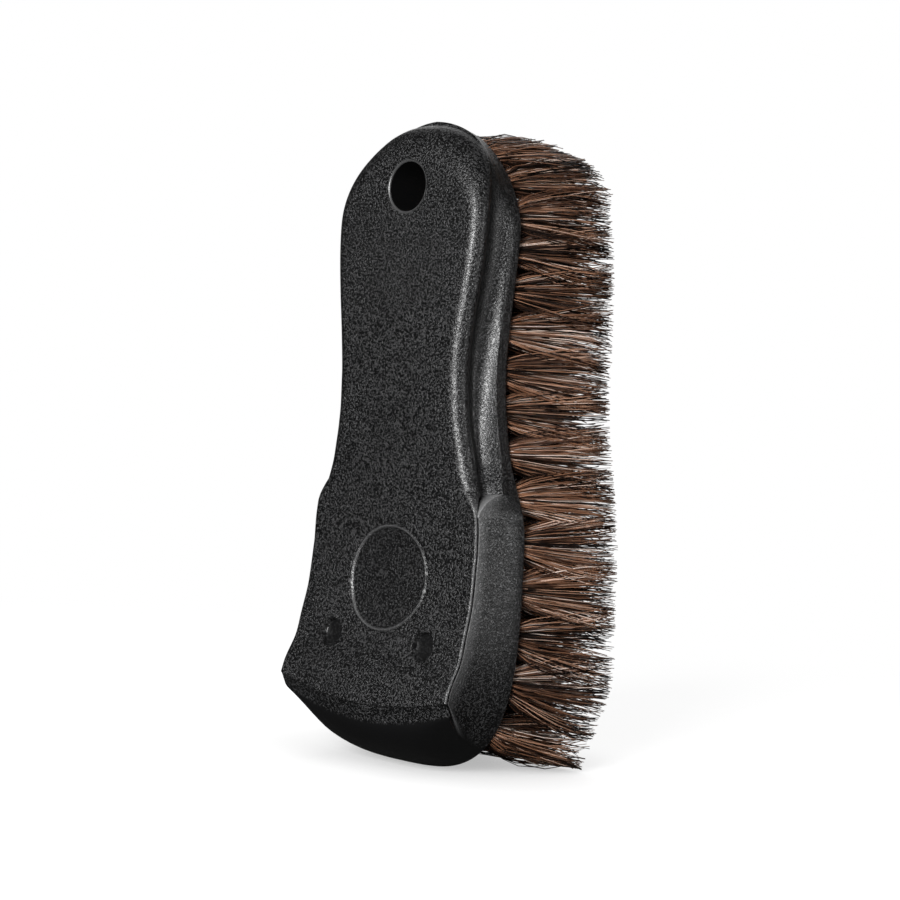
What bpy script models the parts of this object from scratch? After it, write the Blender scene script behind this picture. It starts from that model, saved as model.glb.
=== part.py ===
"""Leather cleaning brush: one moulded handle block with rows of horsehair tufts.

The brush stands on its wide head end. Z runs along the brush, X across it, and the hair points to
+Y. The shapes are worked out from the face that holds the tufts, as the plane Y = 0, and then move
to the middle of the brush's depth. Everything follows from the named sizes below, in metres.
"""

import math

import bmesh
import bpy
from mathutils import Matrix, Vector

MM = 0.001

# Length of the block and heights along it
block_length = 162.9 * MM
face_end_inset = 0.5 * MM
face_end_height = block_length - face_end_inset
crown_rise = 1.1 * MM
back_end_height = block_length - crown_rise
head_widest_height = 43.8 * MM
back_shoulder_height = 53.8 * MM
panel_top_height = 64.8 * MM
back_waist_height = 98.3 * MM
waist_height = 102.8 * MM
grip_end_reach = 27.1 * MM
grip_widest_height = block_length - grip_end_reach

# Half widths of the edge round the tufted face
head_half_width = 33.1 * MM
waist_half_width = 22.2 * MM
grip_half_width = 23.6 * MM

# Half widths of the back, at the corner of the head, the shoulder, the waist and the grip
back_corner_half_width = 29.5 * MM
back_shoulder_half_width = 28.7 * MM
back_waist_half_width = 21.3 * MM
back_grip_half_width = 24.8 * MM

# Thickness of the block along its back, a palm rest that dips under the medallion
grip_thickness = 17.9 * MM
dip_thickness = 13.9 * MM
head_end_thickness = 22.4 * MM
dip_height = 54.8 * MM
flat_grip_height = 116.8 * MM

# Head end: lower edge of the back, bevel under it, and where the side panel ends on the face edge
back_edge_height = 15.9 * MM
back_edge_rise = 3.9 * MM
bevel_height = 3.8 * MM
bevel_corner_height = 2.9 * MM
bevel_depth = 2.0 * MM
panel_foot_height = 6.4 * MM

# Edge band, finger groove, rolled back edge and the slit that edges the side panel
face_chamfer = 0.8 * MM
band_height = 4.0 * MM
arch_band_height = 6.0 * MM
band_full_height = 78.8 * MM
panel_arch_rise = 5.8 * MM
groove_depth = 3.4 * MM
groove_drop = 8.9 * MM
groove_start_depth = 1.1 * MM
groove_start_drop = 6.0 * MM
groove_full_height = 80.8 * MM
groove_fade_speed = 1.5
crown_power = 3
roll_radius = 3.3 * MM
grip_end_roll_radius = 9.0 * MM
panel_edge_radius = 0.5 * MM
slit_width = 0.7 * MM
slit_depth = 0.9 * MM

# Hang hole, medallion recess and the two moulding dimples
hang_hole_radius = 6.2 * MM
hang_hole_inset = 17.6 * MM
hang_hole_height = block_length - hang_hole_inset
hang_hole_chamfer = 0.5 * MM
medallion_radius = 13.4 * MM
medallion_height = 47.3 * MM
medallion_depth = 0.5 * MM
dimple_radius = 3.4 * MM
dimple_height = 31.8 * MM
dimple_offset = 16.2 * MM
dimple_depth = 0.9 * MM

# Tufts: their holes, their folded roots and their hair
hole_radius = 2.75 * MM
hole_depth = 4.3 * MM
root_clearance = 0.3 * MM
root_radius = 2.25 * MM
root_proud = 0.5 * MM
hair_length = 32.0 * MM
edge_wall = 1.6 * MM
tip_gap = 1.0 * MM
strand_tip_radius = 1.0 * MM

# Outline of the hair's tips: its half widths at heights along the brush, and how far the hair
# at the two ends leans beyond its roots
tip_foot_half_width = 29.5 * MM
tip_foot_height = 0.8 * MM
tip_head_half_width = 37.5 * MM
tip_head_height = 26.8 * MM
tip_shoulder_half_width = 35.6 * MM
tip_shoulder_height = 58.8 * MM
tip_waist_half_width = 29.6 * MM
tip_waist_height = 95.8 * MM
tip_grip_half_width = 28.3 * MM
tip_grip_height = 124.8 * MM
tip_end_half_width = 24.6 * MM
tip_end_inset = 10.1 * MM
tip_end_height = block_length - tip_end_inset
tip_overhang = 0.7 * MM
grip_end_lean = 4.2 * MM
head_end_lean = 10.0 * MM

# Rows of tufts, from the grip end down to the head end: how far below the end of the face the
# first ones stand, and how much wider the rows are spaced at the head than at the grip
end_middle_tuft_inset = 6.4 * MM
end_tuft_inset = 7.6 * MM
end_tuft_offset = 9.6 * MM
top_row_inset = 15.1 * MM
foot_row_height = 12.9 * MM
row_columns = (2, 2, 4, 4, 4, 4, 4, 4, 4, 5, 5, 5, 5, 4)
narrow_columns = 4
row_pitch_growth = 1.45
upright_height = 88.8 * MM
lean_power = 2.2

# Strands: the share of its wedge of the root that each fills, their growth and where they bend
root_fold_share = 0.3
strand_share = 0.62
strand_growth = 1.25
strand_bend_shares = (0.5, 1.0)
end_face_fullness_shares = ((0, 0.8), (0.55, 0.85), (1, 0.35))
end_tip_share = 0.55

# Overrun of a cutter past the surface that it opens, and the steps that normals are taken over
overrun = 4.0 * MM
small_step = 0.5 * MM
small_turn = math.radians(1)

# Shapes of the outlines, as shares of the run along the brush and of the change in half width
shoulder_shares = ((0, 1), (0.28, 0.934), (0.36, 0.858), (0.466, 0.62), (0.576, 0.38),
                   (0.70, 0.205), (0.87, 0.05), (1, 0))
back_shoulder_shares = ((0, 1), (0.12, 0.99), (0.27, 0.89), (0.38, 0.64), (0.49, 0.41),
                        (0.58, 0.29), (0.69, 0.15), (0.83, 0.04), (1, 0))
back_dip_shares = ((0, 1), (0.18, 0.80), (0.37, 0.40), (0.50, 0.28), (0.72, 0.08), (1, 0))
back_rise_shares = ((0, 0), (0.17, 0.07), (0.34, 0.26), (0.50, 0.52), (0.68, 0.78), (0.84, 0.94), (1, 1))
head_fullness = 2.95
arch_fullness = 1.45
arch_band_speed = 4
face_end_fullness = 1.62
back_end_fullness = 2.25

# Stations round half of the outline, and points across the side of the block
end_stations = 7
panel_stations = 15
arch_stations = 5
side_stations = 17
grip_end_stations = 12
panel_steps = 3
flange_steps = 3
wall_steps = 3
roll_steps = 3
flange_sweep = math.radians(68)
bore_sides = 32
hole_sides = 8
root_sides = 6


def mix(start, end, share):
    return start + (end - start) * share


def ease(share):
    """Smooth step from 0 to 1."""
    share = min(max(share, 0.0), 1.0)
    return share * share * (3 - 2 * share)


def curve_through(knots):
    """A smooth curve through (place, value) knots that never overshoots them."""
    places = [knot[0] for knot in knots]
    values = [knot[1] for knot in knots]
    runs = [b - a for a, b in zip(places, places[1:])]
    slopes = [(b - a) / run for a, b, run in zip(values, values[1:], runs)]
    tangents = [slopes[0]]
    for before, after in zip(slopes, slopes[1:]):
        tangents.append(0.0 if before * after <= 0 else 2 * before * after / (before + after))
    tangents.append(slopes[-1])

    def value(place):
        place = min(max(place, places[0]), places[-1])
        index = 0
        while index < len(runs) - 1 and place > places[index + 1]:
            index += 1
        run = runs[index]
        u = (place - places[index]) / run
        rise = ease(u)
        bend = u * (1 - u)
        start_pull = tangents[index] * run * bend * (1 - u)
        end_pull = tangents[index + 1] * run * bend * u
        return values[index] * (1 - rise) + values[index + 1] * rise + start_pull - end_pull

    return value


shoulder_curve = curve_through(shoulder_shares)
back_shoulder_curve = curve_through(back_shoulder_shares)
back_dip_curve = curve_through(back_dip_shares)
back_rise_curve = curve_through(back_rise_shares)
end_face_fullness = curve_through(end_face_fullness_shares)
tip_outline = curve_through(((tip_foot_height, tip_foot_half_width),
                             (tip_head_height, tip_head_half_width),
                             (tip_shoulder_height, tip_shoulder_half_width),
                             (tip_waist_height, tip_waist_half_width),
                             (tip_grip_height, tip_grip_half_width),
                             (tip_end_height, tip_end_half_width)))


def arc_point(half_width, reach, fullness, angle):
    """Point on a quarter of a superellipse: angle 0 is its side, a right angle is its end."""
    power = 2 / fullness
    return half_width * abs(math.cos(angle)) ** power, reach * math.sin(angle) ** power


def half_width_on_arc(half_width, reach, fullness, along):
    share = min(max(along / reach, 0.0), 1.0)
    return half_width * (1 - share ** fullness) ** (1 / fullness)


def face_half_width(z):
    """Half width of the edge round the tufted face at height z."""
    if z < head_widest_height:
        return half_width_on_arc(head_half_width, head_widest_height, head_fullness,
                                 head_widest_height - z)
    if z < waist_height:
        share = (z - head_widest_height) / (waist_height - head_widest_height)
        return waist_half_width + (head_half_width - waist_half_width) * shoulder_curve(share)
    if z < grip_widest_height:
        share = (z - waist_height) / (grip_widest_height - waist_height)
        return waist_half_width + (grip_half_width - waist_half_width) * ease(share)
    return half_width_on_arc(grip_half_width, face_end_height - grip_widest_height,
                             face_end_fullness, z - grip_widest_height)


def back_half_width(z):
    """Half width of the back, out to where its rolled edge is widest."""
    if z < back_shoulder_height:
        corner_height = back_edge_height + back_edge_rise
        share = (z - corner_height) / (back_shoulder_height - corner_height)
        return back_corner_half_width + (back_shoulder_half_width - back_corner_half_width) * share
    if z < back_waist_height:
        share = (z - back_shoulder_height) / (back_waist_height - back_shoulder_height)
        change = back_shoulder_half_width - back_waist_half_width
        return back_waist_half_width + change * back_shoulder_curve(share)
    share = (z - back_waist_height) / (grip_widest_height - back_waist_height)
    return back_waist_half_width + (back_grip_half_width - back_waist_half_width) * ease(share)


def thickness(z):
    """Thickness of the block at height z, from the tufted face to the back."""
    if z < dip_height:
        share = (z - back_edge_height) / (dip_height - back_edge_height)
        return dip_thickness + (head_end_thickness - dip_thickness) * back_dip_curve(share)
    share = (z - dip_height) / (flat_grip_height - dip_height)
    return dip_thickness + (grip_thickness - dip_thickness) * back_rise_curve(share)


def back_edge(x):
    """Height of the lower edge of the back at x."""
    return back_edge_height + back_edge_rise * (x / back_corner_half_width) ** 2


def groove_at(z):
    """Depth of the finger groove in from the rolled edge, and its drop below the back."""
    start = panel_top_height + panel_arch_rise
    share = ease((z - start) / (groove_full_height - start) * 0.5 + 0.5) * 2 - 1
    depth = groove_start_depth + (groove_depth - groove_start_depth) * share
    drop = groove_start_drop + (groove_drop - groove_start_drop) * share
    return depth, drop


def band_at(z):
    """Height of the edge band, which grows over the top of the side panel."""
    start = panel_top_height + panel_arch_rise
    return mix(arch_band_height, band_height, ease((z - start) / (band_full_height - start)))


class Rib:
    """One rib across the side of the block, from the tufted face up to the back."""

    def __init__(self, face, back, face_normal, back_normal, roll):
        self.face = Vector(face)
        self.back = Vector(back)
        self.face_normal = Vector(face_normal)
        self.back_normal = Vector(back_normal)
        self.roll = roll
        self.deep = thickness((self.back - self.back_normal * roll).y)

    def point(self, plan, depth):
        """A point of the block: plan is its place over the tufted face."""
        return Vector((plan.x, -depth, plan.y))

    def rolled_edge(self, angle):
        inset = self.roll * (1 - math.cos(angle))
        plan = self.back - self.back_normal * inset
        return self.point(plan, self.deep - self.roll * (1 - math.sin(angle)))

    def rim(self):
        return self.point(self.face, face_chamfer)

    def lip(self):
        """Outer lip of the slit that edges the side panel."""
        return self.point(self.back + self.back_normal * (slit_width / 2), self.deep - slit_width)

    def face_to_crease(self):
        """Points from the rim up to the crease where the panel or the band ends."""
        lip = self.lip()
        return [mix(self.rim(), lip, step / panel_steps) for step in range(1, panel_steps + 1)]

    def crease_to_floor(self):
        """Points from the crease into the groove, or into the slit that takes its place."""
        floor = self.point(self.back - self.back_normal * (slit_width / 2), self.deep - slit_depth)
        lip = self.lip()
        return [mix(lip, floor, step / flange_steps) for step in range(1, flange_steps + 1)]

    def floor_to_roll(self, floor):
        top = self.rolled_edge(0.0)
        return [mix(floor, top, step / wall_steps) for step in range(1, wall_steps + 1)]

    def points(self):
        """The rib's points, with the same count on every rib."""
        points = [self.point(self.face - self.face_normal * face_chamfer, 0.0), self.rim()]
        points += self.face_to_crease()
        points += self.crease_to_floor()
        points += self.floor_to_roll(points[-1])
        for step in range(1, roll_steps + 1):
            points.append(self.rolled_edge(math.pi / 2 * step / roll_steps))
        return points


class GrooveRib(Rib):
    """A rib with an upright edge band and a finger groove above it."""

    def __init__(self, face, back, face_normal, back_normal, roll, groove, opening=None):
        super().__init__(face, back, face_normal, back_normal, roll)
        self.groove_in, self.groove_down = groove
        self.opening = opening
        self.fade = 0.0

    def crease(self):
        band_top = self.point(self.face, band_at(self.face.y))
        if self.opening is None:
            return band_top
        return mix(self.lip(), band_top, self.opening)

    def face_to_crease(self):
        rim = self.rim()
        crease = self.crease()
        if self.opening is None:
            return [mix(rim, crease, step / panel_steps) for step in range(1, panel_steps + 1)]
        share = (self.face.y - panel_top_height) / panel_arch_rise
        narrow = mix(arch_band_height, 2 * face_chamfer, math.sqrt(max(1 - share ** 2, 0.0)))
        plane = mix(rim, self.lip(), (narrow - face_chamfer) / (self.deep - slit_width - face_chamfer))
        band = mix(plane, self.point(self.face, narrow), min(share * arch_band_speed, 1.0))
        return [band, (band + crease) / 2, crease]

    def crease_to_floor(self):
        crease = self.crease()
        plan = self.back - self.back_normal * self.groove_in
        floor = self.point(plan, self.deep - self.groove_down)
        points = []
        for step in range(1, flange_steps + 1):
            sweep = flange_sweep * (1 - step / flange_steps)
            out = (1 - math.cos(sweep)) / (1 - math.cos(flange_sweep))
            down = math.sin(sweep) / math.sin(flange_sweep)
            left = 1 - step / flange_steps
            place = mix(floor, crease, mix(out, ease(left), self.fade))
            place.y = mix(floor.y, crease.y, mix(down, left, self.fade))
            points.append(place)
        return points

    def floor_to_roll(self, floor):
        top = self.rolled_edge(0.0)
        points = []
        for step in range(1, wall_steps + 1):
            share = step / wall_steps
            place = mix(floor, top, ease(share))
            place.y = mix(floor.y, top.y, share)
            points.append(place)
        return points


class EndRib(Rib):
    """A rib down the bulging end face of the head, under its bevel."""

    def __init__(self, face, back, face_normal, back_normal, roll, share):
        super().__init__(face, back, face_normal, back_normal, roll)
        self.fullness = end_face_fullness(share)
        drop = mix(bevel_height, bevel_corner_height, share)
        self.low = self.back - Vector((0.0, drop))

    def face_to_crease(self):
        steps = panel_steps + flange_steps
        depth = self.deep - bevel_depth
        points = []
        for step in range(1, steps + 1):
            angle = math.pi / 2 * step / steps
            bulged = 1 - math.cos(angle)
            plan = mix(self.face, self.low, mix(math.sin(angle), bulged, self.fullness))
            points.append(self.point(plan, mix(face_chamfer, depth, math.sin(angle))))
        return points

    def crease_to_floor(self):
        return []

    def floor_to_roll(self, floor):
        top = self.rolled_edge(0.0)
        return [mix(floor, top, step / wall_steps) for step in range(1, wall_steps + 1)]


def plan_normal(before, after):
    along = (Vector(after) - Vector(before)).normalized()
    return Vector((along.y, -along.x))


def head_face_point(angle):
    x, reach = arc_point(head_half_width, head_widest_height, head_fullness, angle)
    return Vector((x, head_widest_height - reach))


def corner_angle():
    """Angle on the head's outline at which the side panel ends."""
    share = (head_widest_height - panel_foot_height) / head_widest_height
    return math.asin(share ** (head_fullness / 2))


def end_rib(share, angle):
    """A rib of the end face: share runs from the middle of the end to the corner."""
    x = back_corner_half_width * share
    nearby = head_face_point(min(angle + small_turn, math.pi / 2))
    beyond = head_face_point(angle - small_turn)
    slope = 2 * back_edge_rise * x / back_corner_half_width ** 2
    back_normal = Vector((slope, -1.0)).normalized()
    return EndRib(head_face_point(angle), (x, back_edge(x)), plan_normal(nearby, beyond),
                  back_normal, panel_edge_radius, share)


def end_ribs():
    """Ribs of the end face, from the middle of the head end to the corner."""
    ribs = []
    for index in range(end_stations + 1):
        share = index / end_stations
        ribs.append(end_rib(share, mix(math.pi / 2, corner_angle(), share)))
    ribs[0].face_normal = Vector((0.0, -1.0))
    ribs[-1].back_normal = Vector((1.0, -1.0)).normalized()
    return ribs


def side_face_normal(z):
    before = Vector((face_half_width(z - small_step), z - small_step))
    after = Vector((face_half_width(z + small_step), z + small_step))
    return plan_normal(before, after)


def panel_ribs():
    """Ribs of the flat side panel, from above the head's corner up to the foot of its arch."""
    ribs = []
    corner_height = back_edge_height + back_edge_rise
    for index in range(1, panel_stations):
        share = index / panel_stations
        z = mix(corner_height, panel_top_height, share)
        face_z = mix(panel_foot_height, panel_top_height, share)
        ribs.append(Rib((face_half_width(face_z), face_z), (back_half_width(z), z),
                        side_face_normal(face_z), (1.0, 0.0), panel_edge_radius))
    return ribs


def arch_ribs():
    """Ribs in which the band and the groove narrow round the arched top of the panel."""
    ribs = []
    for index in range(arch_stations):
        angle = math.pi / 2 * index / arch_stations
        rise = math.sin(angle) ** (2 / arch_fullness)
        z = panel_top_height + panel_arch_rise * rise
        opening = 1 - math.cos(angle) ** (2 / arch_fullness)
        half_open = (rise + opening) / 2
        roll = mix(panel_edge_radius, roll_radius, half_open)
        rib = GrooveRib((face_half_width(z), z), (back_half_width(z), z),
                        side_face_normal(z), (1.0, 0.0), roll, groove_at(z), opening)
        rib.groove_in = mix(slit_width / 2, groove_start_depth, half_open)
        crease_drop = rib.deep + rib.crease().y
        rib.groove_down = min(crease_drop + slit_width - slit_depth, groove_start_drop)
        rib.groove_down = max(rib.groove_down, slit_depth)
        ribs.append(rib)
    return ribs


def side_ribs():
    """Ribs along the waist and the grip, where the groove is full."""
    ribs = []
    start = panel_top_height + panel_arch_rise
    for index in range(side_stations):
        z = mix(start, grip_widest_height, index / side_stations)
        ribs.append(GrooveRib((face_half_width(z), z), (back_half_width(z), z),
                              side_face_normal(z), (1.0, 0.0), roll_radius, groove_at(z)))
    return ribs


def grip_end_ribs():
    """Ribs round the grip end, where the groove runs out into a crown over the end."""
    ribs = []
    face_reach = face_end_height - grip_widest_height
    back_reach = back_end_height - grip_widest_height
    for index in range(grip_end_stations + 1):
        share = index / grip_end_stations
        angle = math.pi / 2 * share
        x, z = arc_point(grip_half_width, face_reach, face_end_fullness, angle)
        back_x, back_z = arc_point(back_grip_half_width, back_reach, back_end_fullness, angle)
        earlier = max(angle - small_turn, 0.0)
        later = min(angle + small_turn, math.pi / 2)
        before = arc_point(grip_half_width, face_reach, face_end_fullness, earlier)
        after = arc_point(grip_half_width, face_reach, face_end_fullness, later)
        normal = plan_normal(before, after)
        if index == grip_end_stations:
            normal = Vector((0.0, 1.0))
        fade = ease(share * groove_fade_speed)
        depth = groove_depth * (1 - fade) - crown_rise * share ** crown_power
        rib = GrooveRib((x, grip_widest_height + z), (back_x, grip_widest_height + back_z),
                        normal, normal, mix(roll_radius, grip_end_roll_radius, fade),
                        (depth, groove_drop))
        rib.fade = fade
        ribs.append(rib)
    return ribs


def block_mesh():
    """The block as ribs joined into one skin, closed across the back and the tufted face."""
    ribs = end_ribs() + panel_ribs() + arch_ribs() + side_ribs() + grip_end_ribs()
    right = [rib.points() for rib in ribs]
    bm = bmesh.new()
    right_verts = [[bm.verts.new(point) for point in rib] for rib in right]
    left_verts = []
    for index, rib in enumerate(right):
        if index in (0, len(right) - 1):
            left_verts.append(right_verts[index])
            continue
        left_verts.append([bm.verts.new((-point.x, point.y, point.z)) for point in rib])
    across = len(right[0])
    for index in range(len(right) - 1):
        for level in range(across - 1):
            quad = (right_verts[index][level], right_verts[index + 1][level],
                    right_verts[index + 1][level + 1], right_verts[index][level + 1])
            bm.faces.new(quad)
            mirrored = (left_verts[index][level + 1], left_verts[index + 1][level + 1],
                        left_verts[index + 1][level], left_verts[index][level])
            bm.faces.new(mirrored)
        lower_right, upper_right = right_verts[index][-1], right_verts[index + 1][-1]
        lower_left, upper_left = left_verts[index][-1], left_verts[index + 1][-1]
        if lower_right is lower_left:
            bm.faces.new((lower_right, upper_right, upper_left))
        elif upper_right is upper_left:
            bm.faces.new((lower_right, upper_right, lower_left))
        else:
            bm.faces.new((lower_right, upper_right, upper_left, lower_left))
    outline = [rib[0] for rib in right_verts] + [rib[0] for rib in reversed(left_verts[1:-1])]
    bm.faces.new(outline)
    bmesh.ops.recalc_face_normals(bm, faces=bm.faces)
    mesh = bpy.data.meshes.new("handle_block")
    bm.to_mesh(mesh)
    bm.free()
    return mesh


def material(name, colour, roughness, metallic=0.0):
    made = bpy.data.materials.new(name)
    made.use_nodes = True
    shader = made.node_tree.nodes["Principled BSDF"]
    shader.inputs["Base Color"].default_value = (*colour, 1.0)
    shader.inputs["Roughness"].default_value = roughness
    shader.inputs["Metallic"].default_value = metallic
    made.diffuse_color = (*colour, 1.0)
    return made


def frame_shift():
    """Way from the tufted face's plane to the middle of the brush's depth, where Y is zero."""
    deepest = thickness(back_edge_height + panel_edge_radius)
    return (deepest - hair_length) / 2


def add_object(name, mesh, finish=None):
    mesh.transform(Matrix.Translation((0.0, frame_shift(), 0.0)))
    made = bpy.data.objects.new(name, mesh)
    bpy.context.scene.collection.objects.link(made)
    if finish is not None:
        mesh.materials.append(finish)
    return made


def add_cutter(name, mesh, target):
    cutter = add_object(name, mesh)
    cutter.hide_render = True
    cutter.display_type = "WIRE"
    cut = target.modifiers.new(name, "BOOLEAN")
    cut.operation = "DIFFERENCE"
    cut.solver = "EXACT"
    cut.object = cutter
    return cutter


def turned_cutter(bm, centre, rings, sides):
    """Add a solid turned about an axis along Y: rings are (y, radius) pairs."""
    loops = []
    for y, radius in rings:
        loop = []
        for side in range(sides):
            angle = 2 * math.pi * (side + 0.5) / sides
            x = centre[0] + radius * math.cos(angle)
            z = centre[1] + radius * math.sin(angle)
            loop.append(bm.verts.new((x, y, z)))
        loops.append(loop)
    for lower, upper in zip(loops, loops[1:]):
        for side in range(sides):
            after = (side + 1) % sides
            bm.faces.new((lower[side], lower[after], upper[after], upper[side]))
    bm.faces.new(loops[0])
    bm.faces.new(loops[-1])


def cutter_mesh(name, build):
    bm = bmesh.new()
    build(bm)
    bmesh.ops.recalc_face_normals(bm, faces=bm.faces)
    mesh = bpy.data.meshes.new(name)
    bm.to_mesh(mesh)
    bm.free()
    return mesh


def hang_hole_cutter(bm):
    back = -grip_thickness
    flare = hang_hole_radius + hang_hole_chamfer + overrun
    rings = ((back - overrun, flare), (back + hang_hole_chamfer, hang_hole_radius),
             (-hang_hole_chamfer, hang_hole_radius), (overrun, flare))
    turned_cutter(bm, (0.0, hang_hole_height), rings, bore_sides)


def sunk_disc_cutter(bm, x, z, radius, depth, rings):
    """A round recess whose floor keeps its depth under the curved back."""
    outer = []
    floor = bm.verts.new((x, depth - thickness(z), z))
    inner = [floor] * bore_sides
    for ring in range(1, rings + 1):
        loop = []
        for side in range(bore_sides):
            angle = 2 * math.pi * side / bore_sides
            reach = radius * ring / rings
            place_z = z + reach * math.sin(angle)
            y = depth - thickness(place_z)
            loop.append(bm.verts.new((x + reach * math.cos(angle), y, place_z)))
        for side in range(bore_sides):
            after = (side + 1) % bore_sides
            corners = [loop[side], loop[after], inner[after], inner[side]]
            bm.faces.new(corners[:3] if ring == 1 else corners)
        inner = loop
        outer = loop
    lid_y = -head_end_thickness - overrun
    lid = [bm.verts.new((vert.co.x, lid_y, vert.co.z)) for vert in outer]
    for side in range(bore_sides):
        after = (side + 1) % bore_sides
        bm.faces.new((outer[side], outer[after], lid[after], lid[side]))
    bm.faces.new(lid)


def recess_cutters(bm):
    sunk_disc_cutter(bm, 0.0, medallion_height, medallion_radius, medallion_depth, 4)
    for x in (-dimple_offset, dimple_offset):
        sunk_disc_cutter(bm, x, dimple_height, dimple_radius, dimple_depth, 1)


def root_edge_half_width(z):
    """How far out a tuft's centre may stand at height z, leaving a wall to the face edge."""
    return face_half_width(z) - hole_radius - edge_wall


def lean_at(z):
    """How far the tips of the hair rooted at height z stand beyond it, towards the near end."""
    if z > upright_height:
        share = (z - upright_height) / (face_end_height - end_tuft_inset - upright_height)
        return grip_end_lean * min(share, 1.0) ** lean_power
    return -head_end_lean * ((upright_height - z) / upright_height) ** lean_power


class Tuft:
    """One tuft: its name, where it is rooted and where its middle hair ends."""

    def __init__(self, name, x, z, share):
        self.name = name
        self.x = x
        self.z = z
        self.tip_z = z + lean_at(z)
        self.tip_x = share * tip_outline(self.tip_z)
        self.reach_x = 0.0
        self.reach_z = 0.0

    def centre(self, y):
        """Centre of the tuft at height y over the face: its hole leans as its hair does."""
        share = y / hair_length
        return Vector((mix(self.x, self.tip_x, share), y, mix(self.z, self.tip_z, share)))


def row_shares(columns):
    """Places of a row's tips across the tip outline, each tuft with an equal cell."""
    return [(2 * column + 1) / columns - 1 for column in range(columns)]


def row_heights():
    """Heights of the rows, evenly wider spaced from the grip end down to the head end."""
    gaps = len(row_columns) - 1
    pitches = [mix(1.0, row_pitch_growth, math.sqrt(gap / (gaps - 1))) for gap in range(gaps)]
    top = face_end_height - top_row_inset
    return [mix(top, foot_row_height, sum(pitches[:row]) / sum(pitches)) for row in range(gaps + 1)]


def tufts():
    """Every tuft: the end tufts, then row by row, with every second column half a row lower."""
    made = []
    end_places = ((-end_tuft_offset, end_tuft_inset), (0.0, end_middle_tuft_inset),
                  (end_tuft_offset, end_tuft_inset))
    for number, (x, inset) in enumerate(end_places):
        share = end_tip_share * (number - 1)
        made.append(Tuft(f"tuft_end_{number + 1}", x, face_end_height - inset, share))
    heights = row_heights()
    for row, columns in enumerate(row_columns):
        shares = row_shares(max(columns, narrow_columns))
        if columns < narrow_columns:
            shares = (shares[0], shares[-1])
        for column, share in enumerate(shares):
            z = heights[row]
            if min(column, columns - 1 - column) == 1 and row < len(heights) - 1:
                z = (z + heights[row + 1]) / 2
            edge = root_edge_half_width(z)
            x = mix(-edge, edge, column / (columns - 1))
            made.append(Tuft(f"tuft_{row + 1:02d}_{column + 1}", x, z, share))
    for tuft in made:
        set_reach(tuft, made)
    return made


def set_reach(tuft, made):
    """Give the tuft a cell at the tips that stops short of its neighbours' cells."""
    tuft.reach_x = tip_outline(tuft.tip_z) - abs(tuft.tip_x) + tip_gap / 2
    tuft.reach_z = min(block_length + tip_overhang - tuft.tip_z, tuft.tip_z) + tip_gap / 2
    for other in made:
        sideways = abs(other.tip_x - tuft.tip_x)
        lengthwise = abs(other.tip_z - tuft.tip_z)
        if sideways > lengthwise:
            tuft.reach_x = min(tuft.reach_x, sideways / 2)
        elif other is not tuft:
            tuft.reach_z = min(tuft.reach_z, lengthwise / 2)
    tuft.reach_x -= tip_gap / 2
    tuft.reach_z -= tip_gap / 2


def tuft_hole_cutters(bm):
    for tuft in tufts():
        loops = []
        for y in (-hole_depth, overrun):
            centre = tuft.centre(y)
            loop = []
            for side in range(hole_sides):
                angle = 2 * math.pi * (side + 0.5) / hole_sides
                across = Vector((math.cos(angle), 0.0, math.sin(angle)))
                loop.append(bm.verts.new(centre + across * hole_radius))
            loops.append(loop)
        join_loops(bm, loops[0], loops[1])
        bm.faces.new(loops[0])
        bm.faces.new(loops[1])


def join_loops(bm, lower, upper):
    for side, vert in enumerate(lower):
        after = (side + 1) % len(lower)
        bm.faces.new((vert, lower[after], upper[after], upper[side]))


def ring_verts(bm, centre, radius, flatness):
    """A ring of the root: a regular outline, squeezed lengthwise by the flatness."""
    ring = []
    for side in range(root_sides):
        angle = 2 * math.pi * side / root_sides
        across = Vector((math.cos(angle), 0.0, math.sin(angle) * flatness))
        ring.append(bm.verts.new(centre + across * radius))
    return ring


def tuft_mesh(tuft):
    """A folded root in its hole, with the strands that fan out of it, as one body."""
    bm = bmesh.new()
    seat = -hole_depth + root_clearance
    fold = ring_verts(bm, tuft.centre(seat), root_radius, root_fold_share)
    full = ring_verts(bm, tuft.centre(seat / 2), root_radius, 1.0)
    top = ring_verts(bm, tuft.centre(root_proud), root_radius, 1.0)
    bm.faces.new(fold)
    join_loops(bm, fold, full)
    join_loops(bm, full, top)
    middle = tuft.centre(root_proud)
    end = tuft.centre(hair_length)
    middle_vert = bm.verts.new(middle)
    for side, vert in enumerate(top):
        wedge = (middle_vert, vert, top[(side + 1) % root_sides])
        centre = sum((corner.co for corner in wedge), Vector()) / len(wedge)
        root = [bm.verts.new(centre + (corner.co - centre) * strand_share) for corner in wedge]
        join_loops(bm, wedge, root)
        out = (centre - middle).normalized()
        tip = end + Vector((out.x * (tuft.reach_x - strand_tip_radius), 0.0,
                            out.z * (tuft.reach_z - strand_tip_radius)))
        lower = root
        for share in strand_bend_shares:
            growth = mix(1.0, strand_growth, share)
            place = mix(centre, tip, share)
            upper = [bm.verts.new(place + (corner.co - centre) * growth) for corner in root]
            join_loops(bm, lower, upper)
            lower = upper
        bm.faces.new(lower)
    bmesh.ops.recalc_face_normals(bm, faces=bm.faces)
    mesh = bpy.data.meshes.new(tuft.name)
    bm.to_mesh(mesh)
    bm.free()
    return mesh


def build_block():
    finish = material("black_textured_plastic", (0.012, 0.012, 0.013), 0.45)
    block = add_object("handle_block", block_mesh(), finish)
    add_cutter("tuft_holes", cutter_mesh("tuft_holes", tuft_hole_cutters), block)
    add_cutter("hang_hole", cutter_mesh("hang_hole", hang_hole_cutter), block)
    add_cutter("recesses", cutter_mesh("recesses", recess_cutters), block)
    block.data.shade_smooth()
    block.data.set_sharp_from_angle(angle=math.radians(32))
    return block


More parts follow.
